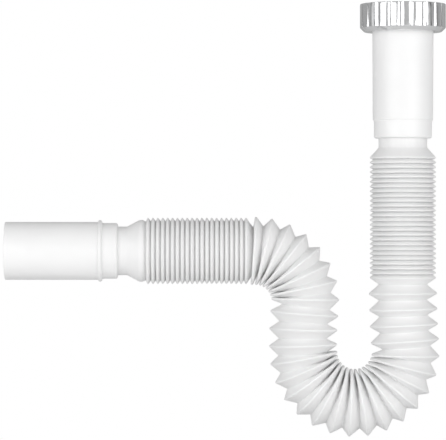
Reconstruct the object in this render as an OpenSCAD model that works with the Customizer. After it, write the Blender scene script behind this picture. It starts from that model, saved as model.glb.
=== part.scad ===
// Flexible sink trap: a bistable bellows hose between an inlet tube held by a union nut and a plain outlet pipe.
// The origin is on the nut's axis, where its thread starts below the mouth's chamfer.
// +Z points up into the sink's waste, the outlet leaves along -X, and the front of the trap faces -Y.
// Distances along the hose are counted downstream, the way the water runs.

/* [Hose ends] */
// Outer diameter of the plain cuff at each end of the hose
cuff_d = 26.9; // [26.4:0.1:27.4]
// Wall of the cuff
cuff_wall = 1; // [0.8:0.1:1.3]
// Length of cuff seen between the socket and the pleats
neck_l = 5.5; // [3:0.1:12]
// Depth of the socket that holds the cuff
socket_l = 8; // [6:0.1:8.2]
// Height of the lip that locks the cuff behind the socket
lock_h = 0.95; // [0.6:0.05:1]
// Thickness of the locking lip
lock_t = 1.6; // [1:0.1:2.4]
// Radial and axial clearance between cuff and socket
cuff_clear = 0.1; // [0.05:0.01:0.15]
// Diameter of the shoulder before the outlet's cuff
shoulder_d = 34.3; // [33:0.1:35]
// Distance from the last folded crest to the shoulder
shoulder_gap = 3.5; // [3:0.1:5]
// Length of the slope from the shoulder down to the cuff
shoulder_slope_l = 7.7; // [5:0.1:12]

/* [Inlet tube] */
// Wall of the socket ring round the cuff
ring_wall = 2.45; // [1.5:0.05:3]
// Length of the socket ring below the step
ring_l = 8.9; // [8.6:0.1:14]
// Width of the step from the ring out to the tube
step_w = 0.65; // [0.4:0.05:1.2]
// Height of the step
step_h = 1.6; // [0.8:0.1:2.5]
// Growth of the tube's diameter up to the flange, the mould's draft
tube_draft = 0.5; // [0.2:0.1:0.8]
// Wall of the tube
tube_wall = 1.9; // [1.5:0.1:2]
// Length of the tube from the flange's top to the step
tube_l = 52.8; // [40:0.5:120]
// Width of the flange outside the tube
flange_w = 2.1; // [1.5:0.1:2.6]
// Thickness of the flange
flange_t = 2.2; // [1.6:0.1:3]
// Rounding of the socket's open edge, on both tubes
socket_round = 1.2; // [0.4:0.1:1.6]

/* [Sealing washer] */
// Width of the flat washer
washer_w = 3.8; // [2.5:0.1:4]
// Thickness of the washer
washer_t = 2; // [1.5:0.1:3]

/* [Union nut] */
// Height of the nut
nut_h = 15.5; // [15.2:0.1:20]
// Radial clearance of the flange inside the thread's bore, for G 1 1/4
flange_clear = 0.475; // [0.3:0.025:0.8]
// Length of threaded wall below the mouth chamfer
thread_l = 7.6; // [6:0.1:7.6]
// Chamfer that leads the thread in
mouth_chamfer = 1.2; // [0.6:0.1:1.6]
// Depth of the run-out groove below the thread
groove_depth = 1.625; // [1.5:0.025:1.9]
// Wall of the nut outside the groove
nut_wall = 2.6; // [2.2:0.1:4]
// Thickness of the lip that pulls the flange up
lip_t = 2; // [1.6:0.1:3]
// Clearance of the nut round the tube and below the flange
nut_play = 0.3; // [0.2:0.05:0.4]
// Number of finger flutes
flutes = 22; // [12:1:28]
// Width of one flute
flute_w = 3.4; // [2:0.1:4.6]
// Depth of one flute
flute_depth = 0.5; // [0.2:0.05:0.9]
// Angle from the front to the nearest flute
flute_phase = 10.1; // [0:0.1:30]
// Bevel round the foot of the nut
foot_bevel = 2.4; // [1:0.1:3]
// Rounding where the bevel meets the side and the foot
bevel_round = 1; // [0.3:0.1:1.5]
// Small bevel round the mouth
rim_bevel = 0.4; // [0.2:0.1:0.8]

/* [Outlet tube] */
// Outer diameter of the spigot that goes into the waste pipe
spigot_d = 32; // [31.8:0.1:33]
// Length of the spigot from its end to the stop rib
spigot_l = 51.4; // [30:0.2:90]
// Wall of the spigot
spigot_wall = 1.9; // [1.3:0.1:1.9]
// Wall of the socket collar round the locking lip
collar_wall = 0.8; // [0.6:0.1:1.4]
// Length of the socket collar
collar_l = 8.6; // [8.4:0.1:14]
// Height of the stop rib above the collar
rib_h = 1.65; // [1:0.05:2.5]
// Width of the stop rib
rib_w = 2.4; // [1.8:0.1:3.5]

/* [Pleats] */
// Diameter over the crests of the open pleats
open_crest_d = 37.6; // [36.8:0.1:38.5]
// Diameter over the crests of the folded pleats
fold_crest_d = 36.6; // [36:0.1:37]
// Diameter at the roots
root_d = 26.7; // [26:0.1:27.5]
// Wall of the pleats
pleat_wall = 0.8; // [0.6:0.05:0.85]
// Pitch of an open pleat
open_pitch = 8.77; // [8:0.01:9.4]
// Distance from an open pleat's upstream root to its crest
open_reach = 5.04; // [4.6:0.01:5.4]
// Width of the crest of an open pleat
open_land = 0.8; // [0.5:0.05:1]
// Pitch of the folded pleats in the inlet leg
inlet_fold_pitch = 2.655; // [2.6:0.005:2.9]
// Pitch of the folded pleats in the outlet leg
outlet_fold_pitch = 2.71; // [2.6:0.005:2.9]
// Width of the crest of a folded pleat
fold_land = 0.5; // [0.3:0.05:0.6]
// Depth of the groove between two folded crests
fold_depth = 1.8; // [1.4:0.1:2.2]
// Folded pleats in the inlet leg
inlet_folds = 26; // [8:1:40]
// Folded pleats in the outlet leg
outlet_folds = 21; // [8:1:36]

/* [Route of the hose] */
// Open pleats of the inlet leg
lean_pleats = 4; // [1:1:8]
// Angle that they lean outwards before the water seal bend
lean_turn = 4.5; // [0:0.5:8]
// Pleats round the water seal bend
seal_pleats = 14; // [12:1:16]
// Angle turned by the water seal bend
seal_turn = 181.6; // [176:0.2:184]
// Radius of the hose's centre line round the water seal bend
seal_r = 28.2; // [27.4:0.1:34]
// Open pleats that rise between the bends
rise_pleats = 3; // [1:1:6]
// Angle that they turn through
rise_turn = 9.4; // [4:0.2:12]
// Pleats round the outlet bend
elbow_pleats = 7; // [6:1:8]
// Angle turned by the outlet bend
elbow_turn = 90.3; // [88:0.1:92]
// Radius of the centre line round the outlet bend
elbow_r = 27.7; // [27.2:0.1:32]
// Pitch of the half-closed pleat that ends the outlet bend
closing_pitch = 4.3; // [4:0.1:6]

/* [Hidden] */
$fn = 96;
eps = 0.01;

// Sizes shared by cuff and socket
socket_d = cuff_d + 2 * cuff_clear;
lock_d = cuff_d + 2 * lock_h;
pocket_d = lock_d + 4 * cuff_clear;
lock_z = socket_l + cuff_clear;
cuff_l = lock_z + lock_t;
edge_break = 0.4;

// Diameters from the cuff out to the nut
ring_d = socket_d + 2 * ring_wall;
tube_foot_d = ring_d + 2 * step_w;
tube_top_d = tube_foot_d + tube_draft;
flange_d = tube_top_d + 2 * flange_w;
washer_bore = flange_d - 2 * washer_w;
thread_minor_d = flange_d + 2 * flange_clear;
groove_d = thread_minor_d + 2 * groove_depth;
nut_d = groove_d + 2 * nut_wall;
nut_hole_d = tube_top_d + 2 * nut_play;
collar_d = pocket_d + 2 * collar_wall;
rib_d = collar_d + 2 * rib_h;

// Heights of the nut and of the stack that it clamps
nut_top = mouth_chamfer;
nut_foot = nut_top - nut_h;
lip_top = nut_foot + lip_t;
flange_top = lip_top + nut_play + flange_t;

// Heights of the inlet tube
step_top = flange_top - tube_l;
ring_top = step_top - step_h;
ring_foot = ring_top - ring_l;

// Shape of the pleats
root_r = root_d / 2;
open_r = open_crest_d / 2;
fold_r = fold_crest_d / 2;
// The inner wall runs level for this far on each side of a root
root_land = 0.5;
// Radial thickness of the wall at roots and crests
radial_wall = 1.1 * pleat_wall;
// How much further down a crest sits for each extra millimetre of pitch
reach_gain = 0.31;
// Outward shift of a root ring for each degree that its pleats turn
root_shift = 0.074;
// Share of a pleat's turn that its crest ring has made
crest_turn = 0.42;
// Axial rise for each millimetre of radius, on the cone of a folded pleat
fold_slope = 0.75;
// Axial rise of the two faces of a folded crest
crest_rise = 1.22;
crest_fall = 0.76;
// Sides of a ring in the bends
ring_sides = 32;
// Overlap between the straight runs and the bends, and how far the bends stay inside them
seam = 0.25;
seam_inset = 0.04;

function arc(cx, cy, r, a0, a1, steps) =
    [for (i = [0:steps]) let (a = a0 + (a1 - a0) * i / steps) [cx + r * cos(a), cy + r * sin(a)]];

function reversed(list) = [for (i = [len(list) - 1:-1:0]) list[i]];

function total(list, n) = n <= 0 ? 0 : list[n - 1] + total(list, n - 1);

// Union nut and the washer that it clamps

module union_nut() {
    side_r = nut_d / 2;
    bevel_shift = bevel_round * (1 - cos(45));
    color("silver")
        difference() {
            rotate_extrude()
                polygon(concat(
                    [
                        [nut_hole_d / 2, nut_foot],
                        [side_r - foot_bevel - bevel_shift, nut_foot]
                    ],
                    arc(
                        side_r - foot_bevel - bevel_shift,
                        nut_foot + bevel_round,
                        bevel_round, -90, -45, 3
                    ),
                    arc(
                        side_r - bevel_round,
                        nut_foot + foot_bevel + bevel_shift,
                        bevel_round, -45, 0, 3
                    ),
                    [
                        [side_r, nut_top - rim_bevel],
                        [side_r - rim_bevel, nut_top],
                        [thread_minor_d / 2 + mouth_chamfer, nut_top],
                        [thread_minor_d / 2, 0],
                        [thread_minor_d / 2, -thread_l],
                        [groove_d / 2, -thread_l - groove_depth],
                        [groove_d / 2, lip_top],
                        [nut_hole_d / 2, lip_top]
                    ]
                ));
            for (i = [0:flutes - 1])
                rotate([0, 0, flute_phase - 90 + i * 360 / flutes])
                    finger_flute();
        }
}

// One shallow scoop that runs the full height of the nut
module finger_flute() {
    scoop_r = (flute_w * flute_w / 4 + flute_depth * flute_depth) / (2 * flute_depth);
    translate([nut_d / 2 - flute_depth + scoop_r, 0, nut_foot - 1])
        cylinder(r = scoop_r, h = nut_h + 2);
}

module sealing_washer() {
    color("dimgray")
        translate([0, 0, flange_top])
            difference() {
                cylinder(d = flange_d, h = washer_t);
                translate([0, 0, -1])
                    cylinder(d = washer_bore, h = washer_t + 2);
            }
}

// Inlet tube, from its flange down to the socket ring that holds the hose

module inlet_tube() {
    bore_top_d = tube_top_d - 2 * tube_wall;
    bore_foot_d = tube_foot_d - 2 * tube_wall;
    shelf = ring_foot + socket_l;
    color("white")
        rotate_extrude()
            polygon(concat(
                [
                    [bore_top_d / 2, flange_top],
                    [flange_d / 2 - edge_break, flange_top],
                    [flange_d / 2, flange_top - edge_break],
                    [flange_d / 2, flange_top - flange_t],
                    [tube_top_d / 2, flange_top - flange_t],
                    [tube_foot_d / 2, step_top],
                    [ring_d / 2, ring_top]
                ],
                arc(ring_d / 2 - socket_round, ring_foot + socket_round, socket_round, 0, -90, 4),
                [
                    [socket_d / 2 + edge_break, ring_foot],
                    [socket_d / 2, ring_foot + edge_break],
                    [socket_d / 2, shelf],
                    [bore_foot_d / 2, shelf]
                ]
            ));
}

// Outlet tube, modelled along its own axis from the socket's mouth and then set at the hose's end

module outlet_tube() {
    rib_round = rib_w / 2 - eps;
    pocket_end = lock_z + lock_t + cuff_clear;
    bore_r = spigot_d / 2 - spigot_wall;
    color("white")
        at_outlet(outlet_socket_s)
            rotate_extrude()
                polygon(concat(
                    [
                        [pocket_d / 2, socket_l],
                        [socket_d / 2, socket_l],
                        [socket_d / 2, edge_break],
                        [socket_d / 2 + edge_break, 0]
                    ],
                    arc(collar_d / 2 - socket_round, socket_round, socket_round, -90, 0, 4),
                    [
                        [collar_d / 2, collar_l]
                    ],
                    arc(rib_d / 2 - rib_round, collar_l + rib_w / 2, rib_round, -90, 90, 8),
                    [
                        [spigot_d / 2, collar_l + rib_w],
                        [spigot_d / 2, collar_l + rib_w + spigot_l],
                        [bore_r, collar_l + rib_w + spigot_l],
                        [bore_r, pocket_end + pocket_d / 2 - bore_r],
                        [pocket_d / 2, pocket_end]
                    ]
                ));
}

// Bellows hose
// An outline is a list of [radius, distance downstream]. Straight runs are turned from an outer and an inner outline.

// Outer face of folded pleats: down the long cone, round the crest, and back up under it
function fold_outer(count, start, pitch) = [
    for (i = [0:count - 1])
        let (s = start + i * pitch, cone = fold_slope * (fold_r - fold_depth - root_r))
            each [
                [root_r, s],
                [fold_r - fold_depth, s + cone],
                [fold_r, s + cone + crest_rise],
                [fold_r, s + cone + crest_rise + fold_land],
                [fold_r - fold_depth, s + cone + crest_rise + fold_land + crest_fall]
            ]
];

// Inner face of the same pleats, one wall away
function fold_inner(count, start, pitch) = [
    for (i = [0:count - 1])
        let (
            s = start + i * pitch,
            cone = fold_slope * (fold_r - fold_depth - root_r),
            wall = pleat_wall * sqrt(1 + fold_slope * fold_slope)
        )
            each [
                [root_r - radial_wall, s + wall / 2],
                [root_r, s + wall],
                [fold_r - fold_depth, s + cone + wall],
                [fold_r - pleat_wall - 0.1, s + cone + crest_rise + fold_land / 2],
                [fold_r - fold_depth, s + cone + crest_rise + fold_land + crest_fall - wall],
                [root_r, s + pitch - wall],
                [root_r - radial_wall, s + pitch - wall / 2]
            ]
];

// Distance of a folded crest from its root, and length of the open face below the last one
fold_crest_s = fold_slope * (fold_r - fold_depth - root_r) + crest_rise + fold_land / 2;
open_face = open_pitch - open_reach;

// Inlet leg, counted downstream from the top of the locking lip
inlet_top = ring_foot + lock_z + lock_t;
inlet_cone_s = cuff_l + neck_l;
first_crest_s = inlet_cone_s + (fold_r - cuff_d / 2) * 1.08;
inlet_fold_s = first_crest_s + inlet_fold_pitch - fold_crest_s;
inlet_last_crest_s = first_crest_s + (inlet_folds - 1) * inlet_fold_pitch;
inlet_end_s = inlet_last_crest_s + open_face;

module inlet_leg() {
    last_s = inlet_last_crest_s - fold_crest_s;
    outer = concat(
        [
            [lock_d / 2, 0],
            [lock_d / 2, lock_t],
            [cuff_d / 2, lock_t],
            [cuff_d / 2, inlet_cone_s - edge_break],
            [cuff_d / 2 + edge_break, inlet_cone_s + edge_break],
            [fold_r, first_crest_s - fold_land / 2],
            [fold_r, first_crest_s + fold_land / 2],
            [fold_r - fold_depth, first_crest_s + fold_land / 2 + crest_fall]
        ],
        fold_outer(inlet_folds - 2, inlet_fold_s, inlet_fold_pitch),
        [
            [root_r, last_s],
            [fold_r - fold_depth, last_s + fold_crest_s - fold_land / 2 - crest_rise],
            [fold_r, last_s + fold_crest_s - fold_land / 2],
            [fold_r, last_s + fold_crest_s + fold_land / 2],
            [root_r, inlet_end_s]
        ]
    );
    wall = pleat_wall * sqrt(1 + fold_slope * fold_slope);
    inner = concat(
        [
            [cuff_d / 2 - cuff_wall, 0],
            [cuff_d / 2 - cuff_wall, inlet_cone_s],
            [fold_r - pleat_wall - 0.2, first_crest_s],
            [fold_r - fold_depth, first_crest_s + fold_land / 2 + crest_fall - wall],
            [root_r, inlet_fold_s - wall],
            [root_r - radial_wall, inlet_fold_s - wall / 2]
        ],
        fold_inner(inlet_folds - 2, inlet_fold_s, inlet_fold_pitch),
        [
            [root_r - radial_wall, last_s + wall / 2],
            [root_r, last_s + wall],
            [fold_r - radial_wall, last_s + fold_crest_s],
            [root_r - radial_wall, inlet_end_s - root_land],
            [root_r - radial_wall, inlet_end_s]
        ]
    );
    translate([0, 0, inlet_top])
        rotate([180, 0, 0])
            rotate_extrude()
                polygon(concat(outer, reversed(inner)));
}

// Outlet leg, counted downstream from the end of the bends
outlet_last_crest_s = (outlet_folds - 1) * outlet_fold_pitch + fold_crest_s;
shoulder_s = outlet_last_crest_s + shoulder_gap;
outlet_neck_s = shoulder_s + shoulder_slope_l;
outlet_socket_s = outlet_neck_s + neck_l;

module outlet_leg() {
    wall = pleat_wall * sqrt(1 + fold_slope * fold_slope);
    fold_end = outlet_folds * outlet_fold_pitch;
    shoulder_r = shoulder_d / 2;
    dip = (shoulder_d - cuff_d) / 8;
    outer = concat(
        fold_outer(outlet_folds, 0, outlet_fold_pitch),
        [
            [root_r, fold_end],
            [shoulder_r - dip, fold_end + fold_slope * (shoulder_r - dip - root_r)],
            [shoulder_r - dip / 4, shoulder_s - shoulder_gap / 3],
            [shoulder_r, shoulder_s],
            [shoulder_r - dip / 4, shoulder_s + shoulder_slope_l / 6],
            [shoulder_r - dip, shoulder_s + shoulder_slope_l / 3],
            [cuff_d / 2 + edge_break, outlet_neck_s - edge_break],
            [cuff_d / 2, outlet_neck_s + edge_break],
            [cuff_d / 2, outlet_socket_s + lock_z],
            [lock_d / 2, outlet_socket_s + lock_z],
            [lock_d / 2, outlet_socket_s + cuff_l]
        ]
    );
    inner = concat(
        [
            [root_r - radial_wall, 0]
        ],
        fold_inner(outlet_folds, 0, outlet_fold_pitch),
        [
            [root_r - radial_wall, fold_end + wall / 2],
            [root_r, fold_end + wall],
            [shoulder_r - pleat_wall - dip, shoulder_s - shoulder_gap / 6],
            [shoulder_r - pleat_wall, shoulder_s],
            [shoulder_r - pleat_wall - dip / 2, shoulder_s + shoulder_slope_l / 6],
            [cuff_d / 2 - cuff_wall, outlet_neck_s - edge_break],
            [cuff_d / 2 - cuff_wall, outlet_socket_s + cuff_l]
        ]
    );
    at_outlet(0)
        rotate_extrude()
            polygon(concat(outer, reversed(inner)));
}

// Bends: a chain of pleats, each with its own pitch and turn, in the plane of X and Z

closing_turn = seal_turn + rise_turn - lean_turn - elbow_turn - 90;
seal_pitch = seal_r * seal_turn / seal_pleats * PI / 180;
elbow_pitch = elbow_r * elbow_turn / elbow_pleats * PI / 180;

chain_pitch = [
    for (i = [1:lean_pleats]) open_pitch,
    for (i = [1:seal_pleats]) seal_pitch,
    for (i = [1:rise_pleats]) open_pitch,
    for (i = [1:elbow_pleats]) elbow_pitch,
    closing_pitch
];
chain_turn = [
    for (i = [1:lean_pleats]) lean_turn / lean_pleats,
    for (i = [1:seal_pleats]) -seal_turn / seal_pleats,
    for (i = [1:rise_pleats]) -rise_turn / rise_pleats,
    for (i = [1:elbow_pleats]) elbow_turn / elbow_pleats,
    closing_turn
];
chain_len = len(chain_turn);

// Heading of each root ring, from -90 for straight down
heading = [for (i = [0:chain_len]) total(chain_turn, i) - 90];

function way(angle) = [cos(angle), sin(angle)];

// Centre of each root ring, as [x, z]
function chain_points(i, p) =
    i == chain_len ? [p] :
    concat([p], chain_points(i + 1, p + chain_pitch[i] * way(heading[i] + chain_turn[i] / 2)));

chain_start = [0, inlet_top - inlet_end_s];
root_at = chain_points(0, chain_start);
hose_end = root_at[chain_len];

// Distance of a crest from its upstream root
function reach(pitch) = open_reach + reach_gain * (pitch - open_pitch);

// Mean turn at root i, which pushes its ring outwards; the two ends stay in line with the straight runs
function turn_at(i) = i == 0 || i == chain_len ? 0 : (chain_turn[i - 1] + chain_turn[i]) / 2;

// A ring is [centre, heading of its normal, radius]
function root_ring(i, step, r) =
    [
        root_at[i] + step * way(heading[i]) + root_shift * turn_at(i) * way(heading[i] - 90),
        heading[i],
        r
    ];

function crest_ring(i, step, r) =
    let (share = reach(chain_pitch[i]) / chain_pitch[i])
        [
            root_at[i]
            + reach(chain_pitch[i]) * way(heading[i] + share * chain_turn[i] / 2)
            + step * way(heading[i] + crest_turn * chain_turn[i]),
            heading[i] + crest_turn * chain_turn[i],
            r
        ];

outer_rings = [
    root_ring(0, -seam, root_r - seam_inset),
    for (i = [0:chain_len - 1])
        each [
            crest_ring(i, -open_land / 2, open_r),
            crest_ring(i, open_land / 2, open_r),
            if (i < chain_len - 1) root_ring(i + 1, 0, root_r)
        ],
    root_ring(chain_len, seam, root_r - seam_inset)
];
inner_r = root_r - radial_wall - seam_inset;
inner_rings = [
    root_ring(0, -seam, inner_r),
    root_ring(0, root_land, inner_r),
    for (i = [0:chain_len - 1])
        each [
            crest_ring(i, 0, open_r - radial_wall),
            root_ring(i + 1, -root_land, inner_r),
            if (i < chain_len - 1) root_ring(i + 1, root_land, inner_r)
        ],
    root_ring(chain_len, seam, inner_r)
];

function ring_points(ring) = [
    for (k = [0:ring_sides - 1])
        let (
            a = 360 * k / ring_sides,
            across = ring[2] * cos(a) * way(ring[1] + 90)
        )
            [ring[0][0] + across[0], ring[2] * sin(a), ring[0][1] + across[1]]
];

// Two triangles for each side of the band between ring a and the ring after it
function band(a, flip) = [
    for (k = [0:ring_sides - 1])
        let (
            m = (k + 1) % ring_sides,
            p = a * ring_sides + k,
            q = a * ring_sides + m,
            r = p + ring_sides,
            s = q + ring_sides
        )
            each flip ? [[p, q, s], [p, s, r]] : [[p, s, q], [p, r, s]]
];

// Flat annulus that joins the outer and the inner skin at one end
function end_band(a, b, flip) = [
    for (k = [0:ring_sides - 1])
        let (
            m = (k + 1) % ring_sides,
            p = a * ring_sides + k,
            q = a * ring_sides + m,
            r = b * ring_sides + k,
            s = b * ring_sides + m
        )
            each flip ? [[p, q, s], [p, s, r]] : [[p, s, q], [p, r, s]]
];

module bends() {
    rings = concat(outer_rings, inner_rings);
    first_in = len(outer_rings);
    last_in = len(rings) - 1;
    polyhedron(
        points = [for (ring = rings) each ring_points(ring)],
        faces = concat(
            [for (i = [0:first_in - 2]) each band(i, true)],
            [for (i = [first_in:last_in - 1]) each band(i, false)],
            end_band(0, first_in, false),
            end_band(first_in - 1, last_in, true)
        ),
        convexity = 20
    );
}

module at_outlet(s) {
    translate([hose_end[0] - s, 0, hose_end[1]])
        rotate([0, -90, 0])
            children();
}

module bellows_hose() {
    color("whitesmoke")
        union() {
            inlet_leg();
            bends();
            outlet_leg();
        }
}

union_nut();
sealing_washer();
inlet_tube();
bellows_hose();
outlet_tube();
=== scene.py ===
import math

import bmesh
import bpy
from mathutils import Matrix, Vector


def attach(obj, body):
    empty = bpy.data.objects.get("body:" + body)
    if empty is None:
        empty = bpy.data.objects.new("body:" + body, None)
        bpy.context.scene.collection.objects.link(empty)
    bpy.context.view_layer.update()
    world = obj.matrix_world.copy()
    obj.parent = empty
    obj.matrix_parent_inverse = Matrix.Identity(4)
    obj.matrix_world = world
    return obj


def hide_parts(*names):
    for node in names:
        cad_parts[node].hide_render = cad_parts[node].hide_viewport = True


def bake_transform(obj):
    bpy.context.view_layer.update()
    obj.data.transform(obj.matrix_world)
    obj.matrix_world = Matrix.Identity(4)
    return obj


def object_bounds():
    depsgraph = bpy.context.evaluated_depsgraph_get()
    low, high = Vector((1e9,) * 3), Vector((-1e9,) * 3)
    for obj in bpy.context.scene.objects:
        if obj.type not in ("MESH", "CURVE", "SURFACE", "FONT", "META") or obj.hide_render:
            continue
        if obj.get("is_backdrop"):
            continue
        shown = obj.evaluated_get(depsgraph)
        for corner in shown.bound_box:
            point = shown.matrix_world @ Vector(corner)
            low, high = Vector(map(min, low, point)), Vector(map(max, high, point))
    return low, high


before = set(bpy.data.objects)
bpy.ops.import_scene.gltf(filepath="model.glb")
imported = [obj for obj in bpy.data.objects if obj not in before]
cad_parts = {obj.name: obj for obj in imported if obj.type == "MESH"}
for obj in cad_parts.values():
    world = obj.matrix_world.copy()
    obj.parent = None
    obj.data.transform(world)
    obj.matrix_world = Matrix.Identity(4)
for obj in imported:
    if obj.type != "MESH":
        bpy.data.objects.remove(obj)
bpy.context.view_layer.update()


# Camera and studio
# The trap is seen level from the front, as in a catalogue. A pale floor lies well below it, because
# it hangs from the sink's waste and its hose can be drawn down to the floor.

bpy.ops.object.camera_add(location=(-0.0996, -1.66, -0.1183), rotation=(math.radians(90), 0, 0))
camera = bpy.context.object
camera.data.lens = 242.0
camera.data.sensor_width = 36.0
camera.data.clip_start = 0.05
bpy.context.scene.camera = camera
bpy.context.scene.view_settings.view_transform = "Standard"

bpy.ops.mesh.primitive_circle_add(vertices=96, radius=1.3, fill_type="NGON", location=(-0.1, 0, -0.45))
floor = bpy.context.object
floor.name = "floor"
floor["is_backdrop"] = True

floor_paint = bpy.data.materials.new("floor_paint")
floor_paint.use_nodes = True
nodes, links = floor_paint.node_tree.nodes, floor_paint.node_tree.links
nodes.clear()
floor_place = nodes.new("ShaderNodeTexCoord")
floor_reach = nodes.new("ShaderNodeVectorMath")
floor_reach.operation = "LENGTH"
floor_fade = nodes.new("ShaderNodeMapRange")
floor_fade.interpolation_type = "SMOOTHSTEP"
floor_fade.inputs["From Min"].default_value = 0.55
floor_fade.inputs["From Max"].default_value = 1.2
floor_matt = nodes.new("ShaderNodeBsdfDiffuse")
floor_matt.inputs["Color"].default_value = (0.93, 0.93, 0.93, 1)
floor_white = nodes.new("ShaderNodeEmission")
floor_path = nodes.new("ShaderNodeLightPath")
floor_seen = nodes.new("ShaderNodeMath")
floor_seen.operation = "MULTIPLY"
floor_mix = nodes.new("ShaderNodeMixShader")
floor_out = nodes.new("ShaderNodeOutputMaterial")
links.new(floor_place.outputs["Object"], floor_reach.inputs[0])
links.new(floor_reach.outputs["Value"], floor_fade.inputs["Value"])
links.new(floor_fade.outputs["Result"], floor_seen.inputs[0])
links.new(floor_path.outputs["Is Camera Ray"], floor_seen.inputs[1])
links.new(floor_seen.outputs["Value"], floor_mix.inputs["Fac"])
links.new(floor_matt.outputs["BSDF"], floor_mix.inputs[1])
links.new(floor_white.outputs["Emission"], floor_mix.inputs[2])
links.new(floor_mix.outputs["Shader"], floor_out.inputs["Surface"])
floor.data.materials.append(floor_paint)

# Two tall soft boxes stand left and right of the camera. Metal shows the gap between them as a grey band.
for side, power in ((-1, 15.5), (1, 14.5)):
    turn = math.radians(43 * side)
    bpy.ops.object.light_add(
        type="AREA",
        location=(-0.1 + 1.5 * math.sin(turn), -1.5 * math.cos(turn), -0.1),
        rotation=(math.radians(90), 0, turn),
    )
    soft_box = bpy.context.object
    soft_box.name = "soft_box"
    soft_box.data.shape = "RECTANGLE"
    soft_box.data.size = 1.3
    soft_box.data.size_y = 1.5
    soft_box.data.energy = power

# The room is plain and pale. Metal sees it darker beside the soft boxes than behind the trap.
room = bpy.data.worlds.new("room")
bpy.context.scene.world = room
room.use_nodes = True
nodes, links = room.node_tree.nodes, room.node_tree.links
nodes.clear()
room_way = nodes.new("ShaderNodeTexCoord")
room_axes = nodes.new("ShaderNodeSeparateXYZ")
room_bands = nodes.new("ShaderNodeValToRGB")
room_depth = nodes.new("ShaderNodeMapRange")
room_depth.inputs["From Min"].default_value = -1
room_depth.inputs["From Max"].default_value = 1
bands = room_bands.color_ramp.elements
bands[0].position, bands[0].color = 0.0, (0.5, 0.5, 0.5, 1)
bands[1].position, bands[1].color = 1.0, (0.42, 0.42, 0.42, 1)
band_greys = ((0.37, 0.5), (0.41, 0.05), (0.46, 0.05), (0.49, 0.9), (0.54, 0.9), (0.58, 0.12), (0.66, 0.38))
for place, grey in band_greys:
    band = bands.new(place)
    band.color = (grey, grey, grey, 1)
room_path = nodes.new("ShaderNodeLightPath")
room_light = nodes.new("ShaderNodeBackground")
room_light.inputs["Color"].default_value = (1, 1, 1, 1)
room_light.inputs["Strength"].default_value = 0.46
room_gloss = nodes.new("ShaderNodeBackground")
room_white = nodes.new("ShaderNodeBackground")
room_white.inputs["Color"].default_value = (1, 1, 1, 1)
gloss_mix = nodes.new("ShaderNodeMixShader")
white_mix = nodes.new("ShaderNodeMixShader")
room_out = nodes.new("ShaderNodeOutputWorld")
links.new(room_way.outputs["Generated"], room_axes.inputs["Vector"])
links.new(room_axes.outputs["Y"], room_depth.inputs["Value"])
links.new(room_depth.outputs["Result"], room_bands.inputs["Fac"])
links.new(room_bands.outputs["Color"], room_gloss.inputs["Color"])
links.new(room_path.outputs["Is Glossy Ray"], gloss_mix.inputs["Fac"])
links.new(room_light.outputs["Background"], gloss_mix.inputs[1])
links.new(room_gloss.outputs["Background"], gloss_mix.inputs[2])
links.new(room_path.outputs["Is Camera Ray"], white_mix.inputs["Fac"])
links.new(gloss_mix.outputs["Shader"], white_mix.inputs[1])
links.new(room_white.outputs["Background"], white_mix.inputs[2])
links.new(white_mix.outputs["Shader"], room_out.inputs["Surface"])


# Inlet tube
# Injection-moulded white polypropylene. Its flange hangs in the union nut, it narrows a little towards
# the foot for the mould, and the socket ring below the step holds the hose's cuff.


def pull_rings(name, rings, sides=72):
    """A skin over a row of rings, each (x, z, heading, radius) in mm and degrees, all centred on y 0."""
    bpy.ops.object.select_all(action="DESELECT")
    x, z, heading, radius = rings[0]
    bpy.ops.mesh.primitive_circle_add(
        vertices=sides,
        radius=radius / 1000,
        location=(x / 1000, 0, z / 1000),
        rotation=(0, math.radians(90 - heading), 0),
    )
    skin = bpy.context.object
    skin.name = name
    bpy.ops.object.transform_apply(location=True, rotation=True, scale=True)
    bpy.ops.object.mode_set(mode="EDIT")
    bpy.ops.mesh.select_all(action="SELECT")
    for new_x, new_z, new_heading, new_radius in rings[1:]:
        centre = (new_x / 1000, 0, new_z / 1000)
        move = ((new_x - x) / 1000, 0, (new_z - z) / 1000)
        bpy.ops.mesh.extrude_region_move(TRANSFORM_OT_translate={"value": move})
        if abs(new_radius - radius) > 1e-6:
            grow = new_radius / radius
            bpy.ops.transform.resize(value=(grow, grow, grow), center_override=centre)
        if abs(new_heading - heading) > 1e-6:
            bpy.ops.transform.rotate(
                value=math.radians(new_heading - heading), orient_axis="Y", center_override=centre
            )
        x, z, heading, radius = new_x, new_z, new_heading, new_radius
    bpy.ops.object.mode_set(mode="OBJECT")
    return skin


def close_wall(skin, crease=40):
    """Joins the last ring to the first, points every face outwards and rounds the shading."""
    bpy.context.view_layer.objects.active = skin
    bpy.ops.object.mode_set(mode="EDIT")
    bpy.ops.mesh.select_all(action="SELECT")
    bpy.ops.mesh.region_to_loop()
    bpy.ops.mesh.bridge_edge_loops()
    bpy.ops.mesh.select_all(action="SELECT")
    bpy.ops.mesh.normals_make_consistent(inside=False)
    bpy.ops.object.mode_set(mode="OBJECT")
    skin.data.shade_smooth()
    skin.select_set(True)
    bpy.ops.object.shade_smooth_by_angle(angle=math.radians(crease))


def round_edge(x, z, radius, first, last, steps):
    """Points (radius, height) round a rounded edge."""
    turns = [math.radians(first + (last - first) * i / steps) for i in range(steps + 1)]
    return [(x + radius * math.cos(t), z + radius * math.sin(t)) for t in turns]


def upright(points):
    """Rings round the inlet's axis from points (radius, height)."""
    return [(0, height, 90, radius) for radius, height in points]


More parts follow.
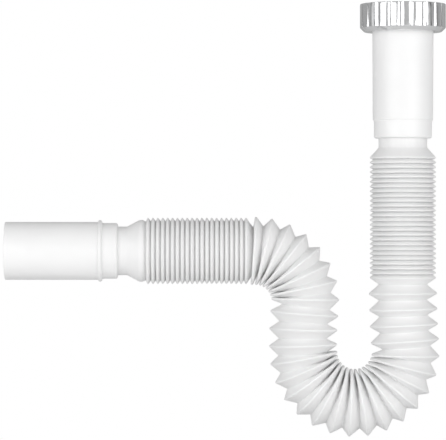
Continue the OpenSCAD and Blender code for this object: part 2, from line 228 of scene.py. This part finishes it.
tube_outline = (
    [(15.0, -10.1), (15.3, -9.8)]
    + round_edge(18.5, -10.3, 0.5, 90, 0, 4)
    + round_edge(18.5, -11.5, 0.5, 0, -90, 4)
    + round_edge(17.3, -12.4, 0.4, 90, 180, 3)
    + [(16.9, -14.5), (16.82, -30), (16.74, -46), (16.67, -61.6)]
    + round_edge(16.0, -62.6, 0.65, 0, -70, 4)
    + [(16.05, -64.0), (16.0, -64.6), (16.0, -68.0)]
    + round_edge(14.8, -71.9, 1.2, 0, -90, 7)
    + [(14.0, -73.1), (13.65, -72.9), (13.55, -72.6), (13.55, -65.1)]
    + [(14.75, -65.1), (14.8, -60), (15.0, -14)]
)
inlet_tube = pull_rings("moulded_inlet_tube", upright(tube_outline), sides=128)
close_wall(inlet_tube)


def moulded_plastic():
    """Node group: faint flow clouds in the colour, a fine satin grain, and roughness that follows it."""
    group = bpy.data.node_groups.new("moulded_plastic", "ShaderNodeTree")
    for label, kind, start in (
        ("Colour", "NodeSocketColor", (0.8, 0.8, 0.8, 1)),
        ("Cloud", "NodeSocketFloat", 0.03),
        ("Roughness", "NodeSocketFloat", 0.4),
        ("Grain Size", "NodeSocketFloat", 1800.0),
        ("Grain Depth", "NodeSocketFloat", 0.08),
    ):
        socket = group.interface.new_socket(name=label, in_out="INPUT", socket_type=kind)
        socket.default_value = start
    group.interface.new_socket(name="Colour", in_out="OUTPUT", socket_type="NodeSocketColor")
    group.interface.new_socket(name="Roughness", in_out="OUTPUT", socket_type="NodeSocketFloat")
    group.interface.new_socket(name="Normal", in_out="OUTPUT", socket_type="NodeSocketVector")
    nodes, links = group.nodes, group.links
    given = nodes.new("NodeGroupInput")
    out = nodes.new("NodeGroupOutput")
    place = nodes.new("ShaderNodeTexCoord")
    clouds = nodes.new("ShaderNodeTexNoise")
    clouds.inputs["Scale"].default_value = 55.0
    clouds.inputs["Detail"].default_value = 2.0
    cloud_level = nodes.new("ShaderNodeMapRange")
    cloud_level.inputs["From Min"].default_value = 0.3
    cloud_level.inputs["From Max"].default_value = 0.7
    cloud_level.inputs["To Min"].default_value = 1.0
    dim = nodes.new("ShaderNodeMath")
    dim.operation = "SUBTRACT"
    dim.inputs[0].default_value = 1.0
    tint = nodes.new("ShaderNodeVectorMath")
    tint.operation = "SCALE"
    grain = nodes.new("ShaderNodeTexNoise")
    grain.inputs["Detail"].default_value = 3.0
    rough_level = nodes.new("ShaderNodeMapRange")
    rough_level.inputs["To Min"].default_value = -0.05
    rough_level.inputs["To Max"].default_value = 0.05
    rough_sum = nodes.new("ShaderNodeMath")
    rough_sum.operation = "ADD"
    bump = nodes.new("ShaderNodeBump")
    bump.inputs["Distance"].default_value = 0.0001
    links.new(place.outputs["Object"], clouds.inputs["Vector"])
    links.new(place.outputs["Object"], grain.inputs["Vector"])
    links.new(given.outputs["Grain Size"], grain.inputs["Scale"])
    links.new(clouds.outputs["Fac"], cloud_level.inputs["Value"])
    links.new(given.outputs["Cloud"], dim.inputs[1])
    links.new(dim.outputs["Value"], cloud_level.inputs["To Max"])
    links.new(given.outputs["Colour"], tint.inputs[0])
    links.new(cloud_level.outputs["Result"], tint.inputs["Scale"])
    links.new(tint.outputs["Vector"], out.inputs["Colour"])
    links.new(clouds.outputs["Fac"], rough_level.inputs["Value"])
    links.new(rough_level.outputs["Result"], rough_sum.inputs[0])
    links.new(given.outputs["Roughness"], rough_sum.inputs[1])
    links.new(rough_sum.outputs["Value"], out.inputs["Roughness"])
    links.new(grain.outputs["Fac"], bump.inputs["Height"])
    links.new(given.outputs["Grain Depth"], bump.inputs["Strength"])
    links.new(bump.outputs["Normal"], out.inputs["Normal"])
    return group


plastic_group = moulded_plastic()


def white_plastic(name, colour, roughness, cloud, grain, depth, glow):
    """White polypropylene, which lets a little light in below its surface."""
    material = bpy.data.materials.new(name)
    material.use_nodes = True
    nodes, links = material.node_tree.nodes, material.node_tree.links
    shader = nodes["Principled BSDF"]
    shader.inputs["IOR"].default_value = 1.49
    shader.inputs["Specular IOR Level"].default_value = 0.35
    shader.inputs["Subsurface Weight"].default_value = glow
    shader.inputs["Subsurface Radius"].default_value = (1.0, 1.0, 1.0)
    shader.inputs["Subsurface Scale"].default_value = 0.0012
    surface = nodes.new("ShaderNodeGroup")
    surface.node_tree = plastic_group
    surface.inputs["Colour"].default_value = (*colour, 1)
    surface.inputs["Cloud"].default_value = cloud
    surface.inputs["Roughness"].default_value = roughness
    surface.inputs["Grain Size"].default_value = grain
    surface.inputs["Grain Depth"].default_value = depth
    links.new(surface.outputs["Colour"], shader.inputs["Base Color"])
    links.new(surface.outputs["Roughness"], shader.inputs["Roughness"])
    links.new(surface.outputs["Normal"], shader.inputs["Normal"])
    return material


tube_plastic = white_plastic("white_tube_plastic", (0.83, 0.83, 0.83), 0.38, 0.02, 2200.0, 0.06, 0.15)
inlet_tube.data.materials.append(tube_plastic)
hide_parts("inlet_tube")
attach(inlet_tube, "inlet")


# Sealing washer
# A flat ring stamped from black rubber sheet. It lies on the tube's flange, and the nut presses it
# against the end of the sink's waste.

washer_outline = (
    round_edge(15.5, -8.1, 0.3, 180, 90, 3)
    + round_edge(18.7, -8.1, 0.3, 90, 0, 3)
    + round_edge(18.8, -9.6, 0.2, 0, -90, 2)
    + round_edge(15.4, -9.6, 0.2, 270, 180, 2)
)
washer = pull_rings("rubber_washer", upright(washer_outline), sides=96)
close_wall(washer)

washer_rubber = bpy.data.materials.new("black_rubber")
washer_rubber.use_nodes = True
nodes, links = washer_rubber.node_tree.nodes, washer_rubber.node_tree.links
shader = nodes["Principled BSDF"]
shader.inputs["Specular IOR Level"].default_value = 0.3
surface = nodes.new("ShaderNodeGroup")
surface.node_tree = plastic_group
surface.inputs["Colour"].default_value = (0.035, 0.035, 0.037, 1)
surface.inputs["Cloud"].default_value = 0.35
surface.inputs["Roughness"].default_value = 0.75
surface.inputs["Grain Size"].default_value = 1400.0
surface.inputs["Grain Depth"].default_value = 0.5
links.new(surface.outputs["Colour"], shader.inputs["Base Color"])
links.new(surface.outputs["Roughness"], shader.inputs["Roughness"])
links.new(surface.outputs["Normal"], shader.inputs["Normal"])
washer.data.materials.append(washer_rubber)
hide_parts("sealing_washer")
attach(washer, "inlet")


# Union nut
# Cast brass, turned inside and chromed outside, with shallow flutes for the fingers that run into the
# bevel at its foot. It turns freely on the tube, and its inside thread draws the flange up.

flutes = 22
flute_columns = 16
# How deep a flute cuts each column of vertices, counted from its middle
flute_depths = {0: 0.5, 1: 0.46, 2: 0.36, 3: 0.19}
nut_r = 23.7
flute_reach = 22.15
foot_share = 0.45
first_flute = 10.1

nut_outline = (
    [(17.2, -12.45), (17.2, -14.1), (17.4, -14.3), (20.6, -14.3)]
    + round_edge(21.0, -13.3, 1.0, -90, -45, 3)
    + round_edge(22.7, -11.6, 1.0, -45, 0, 3)
    + [(23.7, -8.0), (23.7, -3.0), (23.7, 0.75), (23.58, 1.05), (23.3, 1.2), (22.2, 1.2), (22.0, 1.12)]
    + [(20.98, 0.05), (20.98, -7.75), (21.1, -9.2), (21.1, -12.1), (20.9, -12.3), (17.35, -12.3)]
)
nut = pull_rings("fluted_union_nut", upright(nut_outline), sides=flutes * flute_columns)
bpy.context.view_layer.objects.active = nut
bpy.ops.object.transform_apply(location=True, rotation=True, scale=True)


def column_of(point):
    """How many columns of vertices a point of the nut stands from the middle of its nearest flute."""
    turn = math.degrees(math.atan2(point.x, -point.y)) - first_flute
    step = 360 / flutes
    return abs(round(((turn + step / 2) % step - step / 2) / (step / flute_columns)))


bpy.ops.object.select_all(action="DESELECT")
nut.select_set(True)
bpy.ops.object.mode_set(mode="EDIT")
bpy.ops.mesh.select_all(action="SELECT")
bpy.ops.transform.rotate(value=-math.radians(first_flute), orient_axis="Z", center_override=(0, 0, 0))
for column, depth in flute_depths.items():
    for low, high, drop in ((-11.65, 0.8, 0.0), (-11.65, -11.5, -1.0), (-12.35, -11.7, 0.0)):
        shape = bmesh.from_edit_mesh(nut.data)
        for vertex in shape.verts:
            reach = math.hypot(vertex.co.x, vertex.co.y) * 1000
            height = vertex.co.z * 1000
            vertex.select_set(reach > flute_reach and low < height < high and column_of(vertex.co) == column)
        shape.select_flush(True)
        bmesh.update_edit_mesh(nut.data)
        if drop:
            bpy.ops.transform.translate(value=(0, 0, drop * depth / 1000))
        else:
            share = 1 - depth / nut_r * (1.0 if low > -12 else foot_share)
            bpy.ops.transform.resize(value=(share, share, 1), center_override=(0, 0, 0))
bpy.ops.object.mode_set(mode="OBJECT")
close_wall(nut, crease=28)

# The thread is one ridge of three turns, cut round the wall of the nut.
thread_r = 0.0205
thread_foot = -0.0069
bpy.ops.object.select_all(action="DESELECT")
bpy.ops.mesh.primitive_plane_add(
    size=0.002, location=(thread_r, 0, thread_foot), rotation=(math.radians(90), 0, 0)
)
thread = bpy.context.object
thread.name = "nut_thread"
bpy.ops.object.transform_apply(location=True, rotation=True, scale=True)
bpy.ops.object.mode_set(mode="EDIT")
shape = bmesh.from_edit_mesh(thread.data)
for vertex in shape.verts:
    vertex.select_set(vertex.co.x < thread_r)
shape.select_flush(True)
bmesh.update_edit_mesh(thread.data)
bpy.ops.transform.resize(value=(1, 1, 0.12), center_override=(thread_r, 0, thread_foot))
bpy.ops.transform.translate(value=(-0.000005, 0, 0))
bpy.ops.object.mode_set(mode="OBJECT")
ridge = thread.modifiers.new("turns", "SCREW")
ridge.axis = "Z"
ridge.steps = 96
ridge.render_steps = 96
ridge.iterations = 3
ridge.screw_offset = 0.002309
ridge.angle = math.radians(360)
bpy.ops.object.modifier_apply(modifier="turns")
bpy.ops.object.mode_set(mode="EDIT")
bpy.ops.mesh.select_all(action="SELECT")
bpy.ops.mesh.remove_doubles(threshold=0.000001)
bpy.ops.mesh.normals_make_consistent(inside=False)
bpy.ops.object.mode_set(mode="OBJECT")
thread.data.shade_smooth()
bpy.ops.object.shade_smooth_by_angle(angle=math.radians(35))

nut_chrome = bpy.data.materials.new("chromed_brass")
nut_chrome.use_nodes = True
nodes, links = nut_chrome.node_tree.nodes, nut_chrome.node_tree.links
shader = nodes["Principled BSDF"]
shader.inputs["Metallic"].default_value = 1.0
place = nodes.new("ShaderNodeTexCoord")
haze = nodes.new("ShaderNodeTexNoise")
haze.inputs["Scale"].default_value = 160.0
haze.inputs["Detail"].default_value = 4.0
haze_rough = nodes.new("ShaderNodeMapRange")
haze_rough.inputs["From Min"].default_value = 0.35
haze_rough.inputs["From Max"].default_value = 0.7
haze_rough.inputs["To Min"].default_value = 0.1
haze_rough.inputs["To Max"].default_value = 0.2
haze_tint = nodes.new("ShaderNodeValToRGB")
haze_tint.color_ramp.elements[0].color = (0.82, 0.83, 0.84, 1)
haze_tint.color_ramp.elements[1].color = (0.9, 0.9, 0.905, 1)
cast_waves = nodes.new("ShaderNodeTexNoise")
cast_waves.inputs["Scale"].default_value = 420.0
cast_waves.inputs["Detail"].default_value = 2.0
wave_bump = nodes.new("ShaderNodeBump")
wave_bump.inputs["Strength"].default_value = 0.12
wave_bump.inputs["Distance"].default_value = 0.0001
links.new(place.outputs["Object"], haze.inputs["Vector"])
links.new(place.outputs["Object"], cast_waves.inputs["Vector"])
links.new(haze.outputs["Fac"], haze_rough.inputs["Value"])
links.new(haze.outputs["Fac"], haze_tint.inputs["Fac"])
links.new(haze_rough.outputs["Result"], shader.inputs["Roughness"])
links.new(haze_tint.outputs["Color"], shader.inputs["Base Color"])
links.new(cast_waves.outputs["Fac"], wave_bump.inputs["Height"])
links.new(wave_bump.outputs["Normal"], shader.inputs["Normal"])
for piece in (nut, thread):
    piece.data.materials.append(nut_chrome)
    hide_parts("union_nut")
    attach(piece, "nut")


# Bellows hose, from the inlet's cuff to the root before the outlet leg
# Blown from one white polypropylene tube. A pleat snaps between folded and open, so the hose keeps the
# bends and the length that it is set to. The cuff is snapped into the inlet tube's ring.

crest_r = 18.8
fold_crest_r = 18.3
root_r = 13.35
open_pitch = 8.77
wall = 0.8
# Outward shift of a root for each degree that its pleats turn
root_shift = 0.074
# Share of a pleat's turn that its crest has made
crest_turn = 0.42
# How much further down a crest sits for each extra millimetre of pitch
reach_gain = 0.31
# Half the width of a root's rounding, and its height
root_half = 0.34
root_round = 0.24


def way(heading):
    return math.cos(math.radians(heading)), math.sin(math.radians(heading))


# Faces of one folded pleat, as (radius, distance down the hose from its root): the long face up to the
# crest, the crest's far side down to the knee, and the face that lies folded back against the long one.
long_face = [(13.35, 0.0), (13.62, 0.28), (16.5, 2.36), (18.02, 3.38), (18.25, 3.6), (18.3, 3.83)]
crest_side = [(18.3, 3.83), (18.25, 4.06), (18.02, 4.22), (16.5, 4.84)]
crest_s, knee_s = 3.83, 4.84
open_reach, open_knee = 5.04, 1.36


def back_face(pitch):
    return [(16.5, 4.84), (13.62, 2.88 + pitch - 2.655), (13.35, pitch)]


def on_line(points, x, z, heading):
    """Rings for points (radius, distance) along a straight line from x, z."""
    east, north = way(heading)
    return [(x + s * east, z + s * north, heading, r) for r, s in points]


def unfold(piece):
    """Bakes a face's placement into its mesh."""
    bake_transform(piece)


def copy_of(piece, move):
    bpy.ops.object.select_all(action="DESELECT")
    piece.select_set(True)
    bpy.context.view_layer.objects.active = piece
    bpy.ops.object.duplicate()
    made = bpy.context.object
    bpy.ops.transform.translate(value=[m / 1000 for m in move])
    bpy.ops.object.transform_apply(location=True, rotation=True, scale=True)
    return made


def weld(pieces, name):
    """Joins faces into one blown wall: doubles merged, normals outwards, then the wall's thickness."""
    bpy.ops.object.select_all(action="DESELECT")
    for piece in pieces:
        piece.select_set(True)
    bpy.context.view_layer.objects.active = pieces[0]
    bpy.ops.object.join()
    hose = bpy.context.object
    hose.name = name
    bpy.ops.object.mode_set(mode="EDIT")
    bpy.ops.mesh.select_all(action="SELECT")
    bpy.ops.mesh.remove_doubles(threshold=0.000004)
    bpy.ops.mesh.normals_make_consistent(inside=False)
    bpy.ops.object.mode_set(mode="OBJECT")
    thick = hose.modifiers.new("wall", "SOLIDIFY")
    thick.thickness = wall / 1000
    thick.offset = -1
    bpy.ops.object.modifier_apply(modifier="wall")
    hose.data.shade_smooth()
    return hose


# The inlet leg hangs straight down from the top of the cuff's locking lip.
inlet_top = -63.4
first_crest = 20.438
inlet_pitch = 2.655
inlet_folds = 26
inlet_travel = (inlet_folds - 1) * (open_pitch - inlet_pitch)
cuff = pull_rings(
    "cuff",
    on_line(
        [(14.4, 0.0), (14.4, 1.6), (13.45, 1.6), (13.45, 8.0), (13.45, 14.7), (13.6, 15.1), (13.95, 15.5)]
        + [(16.2, 17.95), (18.0, 19.93), (18.25, 20.2), (18.3, first_crest)],
        0, inlet_top, -90,
    ),
)
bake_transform(cuff)
hose_faces = [cuff]
root_0 = first_crest - crest_s
model_faces = [
    pull_rings("long_face", on_line(long_face, 0, inlet_top - root_0, -90)),
    pull_rings("crest_side", on_line(crest_side, 0, inlet_top - root_0, -90)),
    pull_rings("back_face", on_line(back_face(inlet_pitch), 0, inlet_top - root_0, -90)),
]
for fold in range(inlet_folds):
    down = fold * inlet_pitch
    crest_share = fold / (inlet_folds - 1)
    root_share = crest_share - (open_reach - crest_s) / inlet_travel
    knee_share = crest_share + (open_knee - knee_s + crest_s) / inlet_travel
    next_share = root_share + 1 / (inlet_folds - 1)
    top = root_0 + down
    spans = (
        (0, top, root_share, top + crest_s, crest_share),
        (1, top + crest_s, crest_share, top + knee_s, knee_share),
        (2, top + knee_s, knee_share, top + inlet_pitch, next_share),
    )
    for face, near, near_share, far, far_share in spans:
        if (fold == 0 and face == 0) or (fold == inlet_folds - 1 and face > 0):
            continue
        made = copy_of(model_faces[face], (0, 0, -down))
        unfold(made)
        hose_faces.append(made)

# The open pleats follow the bends: each run is (pleats, turn, pitch).
runs = [(4, 4.5, 8.77), (14, -181.6, 6.3846), (3, -9.4, 8.77), (7, 90.3, 6.2365), (1, 6.2, 4.3)]
pleats = [(turn / count, pitch) for count, turn, pitch in runs for i in range(count)]
last_crest = first_crest + (inlet_folds - 1) * inlet_pitch
x, z, heading = 0.0, inlet_top - last_crest - (open_pitch - open_reach), -90.0
roots = [(x, z, heading)]
for turn, pitch in pleats:
    east, north = way(heading + turn / 2)
    x, z, heading = x + pitch * east, z + pitch * north, heading + turn
    roots.append((x, z, heading))

last_fold = [(18.3, last_crest), (18.25, last_crest + 0.25), (18.02, last_crest + 0.5)]
bend_rings = on_line(last_fold, 0, inlet_top, -90)


def ring_beside(place, step, shift, radius):
    """A ring a step further down the hose than place, pushed sideways by shift."""
    x, z, heading = place
    east, north = way(heading)
    return x + step * east + shift * north, z + step * north - shift * east, heading, radius


for number, (turn, pitch) in enumerate(pleats):
    before = pleats[number - 1][0] if number else 0
    lean = root_shift * (turn + before) / 2 if number else 0
    root = roots[number]
    bend_rings += [
        ring_beside(root, -root_half, lean, root_r + root_round),
        ring_beside(root, 0.0, lean, root_r),
        ring_beside(root, root_half, lean, root_r + root_round),
    ]
    reach = open_reach + reach_gain * (pitch - open_pitch)
    east, north = way(root[2] + reach / pitch * turn / 2)
    crest = (root[0] + reach * east, root[1] + reach * north, root[2] + crest_turn * turn)
    bend_rings += [
        ring_beside(crest, -0.72, 0, crest_r - 0.42),
        ring_beside(crest, -0.42, 0, crest_r - 0.08),
        ring_beside(crest, 0.0, 0, crest_r),
        ring_beside(crest, 0.4, 0, crest_r - 0.08),
        ring_beside(crest, 0.66, 0, crest_r - 0.42),
    ]
bend_rings += [
    ring_beside(roots[-1], -root_half, 0, root_r + root_round),
    ring_beside(roots[-1], 0.0, 0, root_r),
]
bends = pull_rings("bends", bend_rings)
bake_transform(bends)
hose_faces.append(bends)
for piece in model_faces:
    bpy.data.objects.remove(piece)
hose = weld(hose_faces, "bellows_hose_bends")

hose_plastic = white_plastic("white_hose_plastic", (0.82, 0.82, 0.82), 0.42, 0.03, 1500.0, 0.1, 0.3)
hose.data.materials.append(hose_plastic)
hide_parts("bellows_hose")


# Bellows hose, outlet leg
# The same blown wall runs on: folded pleats, a round shoulder, and the plain cuff that is snapped into the outlet
# tube's collar. It is drawn out sideways.

end_x, end_z = roots[-1][0], roots[-1][1]
outlet_pitch = 2.71
outlet_folds = 21
outlet_travel = outlet_folds * (open_pitch - outlet_pitch)
model_faces = [
    pull_rings("long_face", on_line(long_face, end_x, end_z, 180)),
    pull_rings("crest_side", on_line(crest_side, end_x, end_z, 180)),
    pull_rings("back_face", on_line(back_face(outlet_pitch), end_x, end_z, 180)),
]
leg_faces = []
for fold in range(outlet_folds):
    down = fold * outlet_pitch
    root_share = fold / outlet_folds
    crest_share = root_share + (open_reach - crest_s) / outlet_travel
    knee_share = crest_share + (open_knee - knee_s + crest_s) / outlet_travel
    next_share = (fold + 1) / outlet_folds
    spans = (
        (0, down, root_share, down + crest_s, crest_share),
        (1, down + crest_s, crest_share, down + knee_s, knee_share),
        (2, down + knee_s, knee_share, down + outlet_pitch, next_share),
    )
    for face, near, near_share, far, far_share in spans:
        made = copy_of(model_faces[face], (-down, 0, 0))
        unfold(made)
        leg_faces.append(made)
for piece in model_faces:
    bpy.data.objects.remove(piece)
leg_end = outlet_folds * outlet_pitch
shoulder_gap = 3.5
shoulder_slope = 7.7
neck = 5.5
shoulder = (outlet_folds - 1) * outlet_pitch + crest_s + shoulder_gap
socket = shoulder + shoulder_slope + neck
outlet_cuff = pull_rings(
    "outlet_cuff",
    on_line(
        [(13.35, leg_end), (13.62, leg_end + 0.28), (16.2, leg_end + 2.17), (16.75, shoulder - 1.3)]
        + [(17.05, shoulder - 0.7), (17.15, shoulder), (17.1, shoulder + 0.8), (16.85, shoulder + 1.7)]
        + [(16.3, shoulder + 2.7), (14.2, shoulder + 6.6), (13.7, shoulder + 7.4), (13.5, shoulder + 8.0)]
        + [(13.45, shoulder + 8.6), (13.45, socket + 8.1), (14.4, socket + 8.1), (14.4, socket + 9.7)],
        end_x, end_z, 180,
    ),
)
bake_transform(outlet_cuff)
leg_faces.append(outlet_cuff)
outlet_leg = weld(leg_faces, "bellows_hose_outlet_leg")
outlet_leg.data.materials.append(hose_plastic)
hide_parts("bellows_hose")


# Outlet tube
# Injection-moulded from the same plastic as the inlet tube. Its collar holds the hose's cuff, and the
# rounded rib stops the spigot as it is pushed into the waste pipe.

mouth_x = end_x - socket
collar_outline = (
    [(14.6, 9.8), (14.6, 8.0), (13.55, 8.0), (13.55, 0.5), (13.7, 0.15), (14.0, 0.0)]
    + round_edge(14.2, 1.2, 1.2, -90, 0, 7)
    + [(15.4, 4.0), (15.4, 8.0), (15.45, 8.4), (15.65, 8.6)]
    + round_edge(15.95, 9.8, 1.1, -85, 85, 12)
    + [(16.1, 11.0), (16.0, 11.3), (16.0, 28.0), (16.0, 45.0)]
    + round_edge(15.6, 62.0, 0.4, 0, 90, 4)
    + [(14.4, 62.4), (14.1, 62.1), (14.1, 40.0), (14.1, 10.3)]
)
outlet_tube = pull_rings("moulded_outlet_tube", on_line(collar_outline, mouth_x, end_z, 180), sides=128)
close_wall(outlet_tube)
outlet_tube.data.materials.append(tube_plastic)
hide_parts("outlet_tube")
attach(outlet_tube, "outlet")

low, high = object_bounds()
